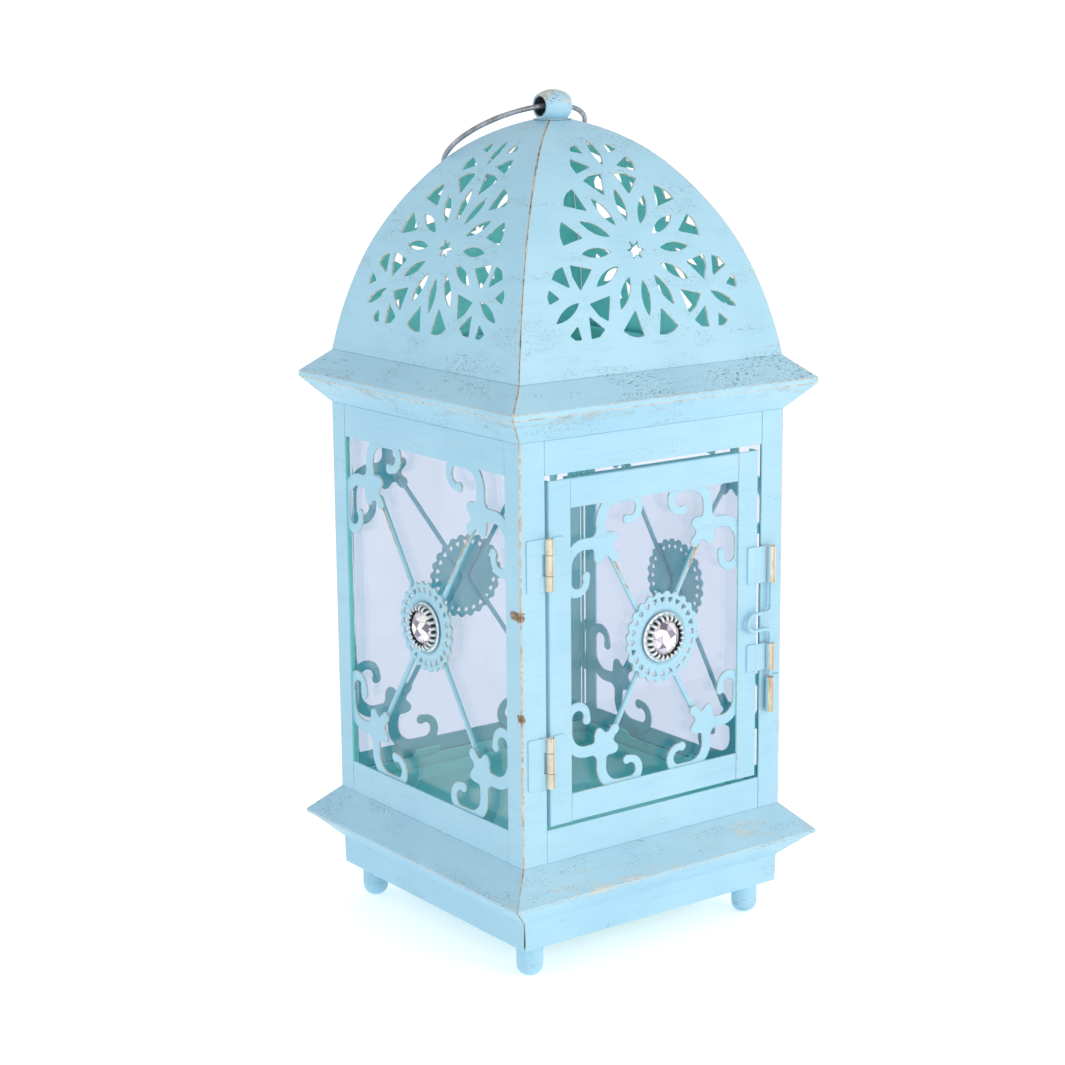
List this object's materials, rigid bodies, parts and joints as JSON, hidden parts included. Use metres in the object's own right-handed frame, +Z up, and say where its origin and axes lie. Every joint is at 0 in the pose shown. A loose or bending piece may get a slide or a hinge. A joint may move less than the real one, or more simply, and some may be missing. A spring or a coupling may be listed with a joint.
{
  "type": "candle lantern",
  "caption": "Square sheet-metal candle lantern with glazed scrollwork walls, a hinged latching door, a pierced dome roof, a flared base on feet and a swinging carry ring.",
  "frame": {"origin": "centre of the lantern's footprint, on the ground under its feet", "axes": "+Z up; the door faces -Y and is hinged on its -X side"},
  "size_m": [0.095, 0.095, 0.21],
  "materials": {
    "blue_paint": "satin distressed powder-blue paint on sheet iron",
    "antique_metal": "rubbed antique beige over brass",
    "wire_metal": "painted wire rubbed back to brass",
    "ring_metal": "speckled grey, rubbed paint",
    "window_glass": "clear",
    "bezel_metal": "bright plated",
    "crystal": "faceted clear stone"
  },
  "bodies": {
    "lantern": {"feet": "blue_paint", "base_skirt_front": "blue_paint", "base_skirt_right": "blue_paint", "base_skirt_back": "blue_paint", "base_skirt_left": "blue_paint", "floor_plate": "blue_paint", "corner_post_front_left": "blue_paint", "corner_post_front_right": "blue_paint", "corner_post_back_left": "blue_paint", "corner_post_back_right": "blue_paint", "bottom_rail_front": "blue_paint", "bottom_rail_right": "blue_paint", "bottom_rail_back": "blue_paint", "bottom_rail_left": "blue_paint", "top_rail_front": "blue_paint", "top_rail_right": "blue_paint", "top_rail_back": "blue_paint", "top_rail_left": "blue_paint", "glass_left": "window_glass", "glass_back": "window_glass", "glass_right": "window_glass", "glass_clips": "blue_paint", "scrolls_left": "blue_paint", "scrolls_back": "blue_paint", "scrolls_right": "blue_paint", "cross_wires_left": "wire_metal", "cross_wires_back": "wire_metal", "cross_wires_right": "wire_metal", "medallion_left": "blue_paint", "medallion_back": "blue_paint", "medallion_right": "blue_paint", "gem_bezels": "bezel_metal", "gem_stones": "crystal", "cornice_front": "blue_paint", "cornice_right": "blue_paint", "cornice_back": "blue_paint", "cornice_left": "blue_paint", "dome_panel_front": "blue_paint", "dome_panel_right": "blue_paint", "dome_panel_back": "blue_paint", "dome_panel_left": "blue_paint", "hanger_strap": "blue_paint", "hinge_frame_leaves": "antique_metal", "hinge_pins": "antique_metal", "latch_keeper": "antique_metal"},
    "door": {"door_stile_left": "blue_paint", "door_stile_right": "blue_paint", "door_rail_top": "blue_paint", "door_rail_bottom": "blue_paint", "door_glass": "window_glass", "door_glass_clips": "blue_paint", "door_scrolls": "blue_paint", "door_cross_wires": "wire_metal", "door_medallion": "blue_paint", "door_gem_bezel": "bezel_metal", "door_gem_stone": "crystal", "hinge_door_leaves": "antique_metal", "latch_barrels": "antique_metal"},
    "bolt": {"latch_bolt": "antique_metal"},
    "ring": {"carry_ring": "ring_metal"}
  },
  "joints": [
    {"name": "door_hinge", "type": "hinge", "parent": "lantern", "child": "door", "pos_m": [-0.033, -0.0416, 0.0801], "axis": [0, 0, -1], "range_deg": [0, 180]},
    {"name": "bolt_slide", "type": "slide", "parent": "door", "child": "bolt", "axis": [0, 0, 1], "range_m": [-0.0021, 0.005]},
    {"name": "ring_swing", "type": "hinge", "parent": "lantern", "child": "ring", "pos_m": [0, 0, 0.2061], "axis": [1, 0, 0], "range_deg": [0, 240]}
  ]
}
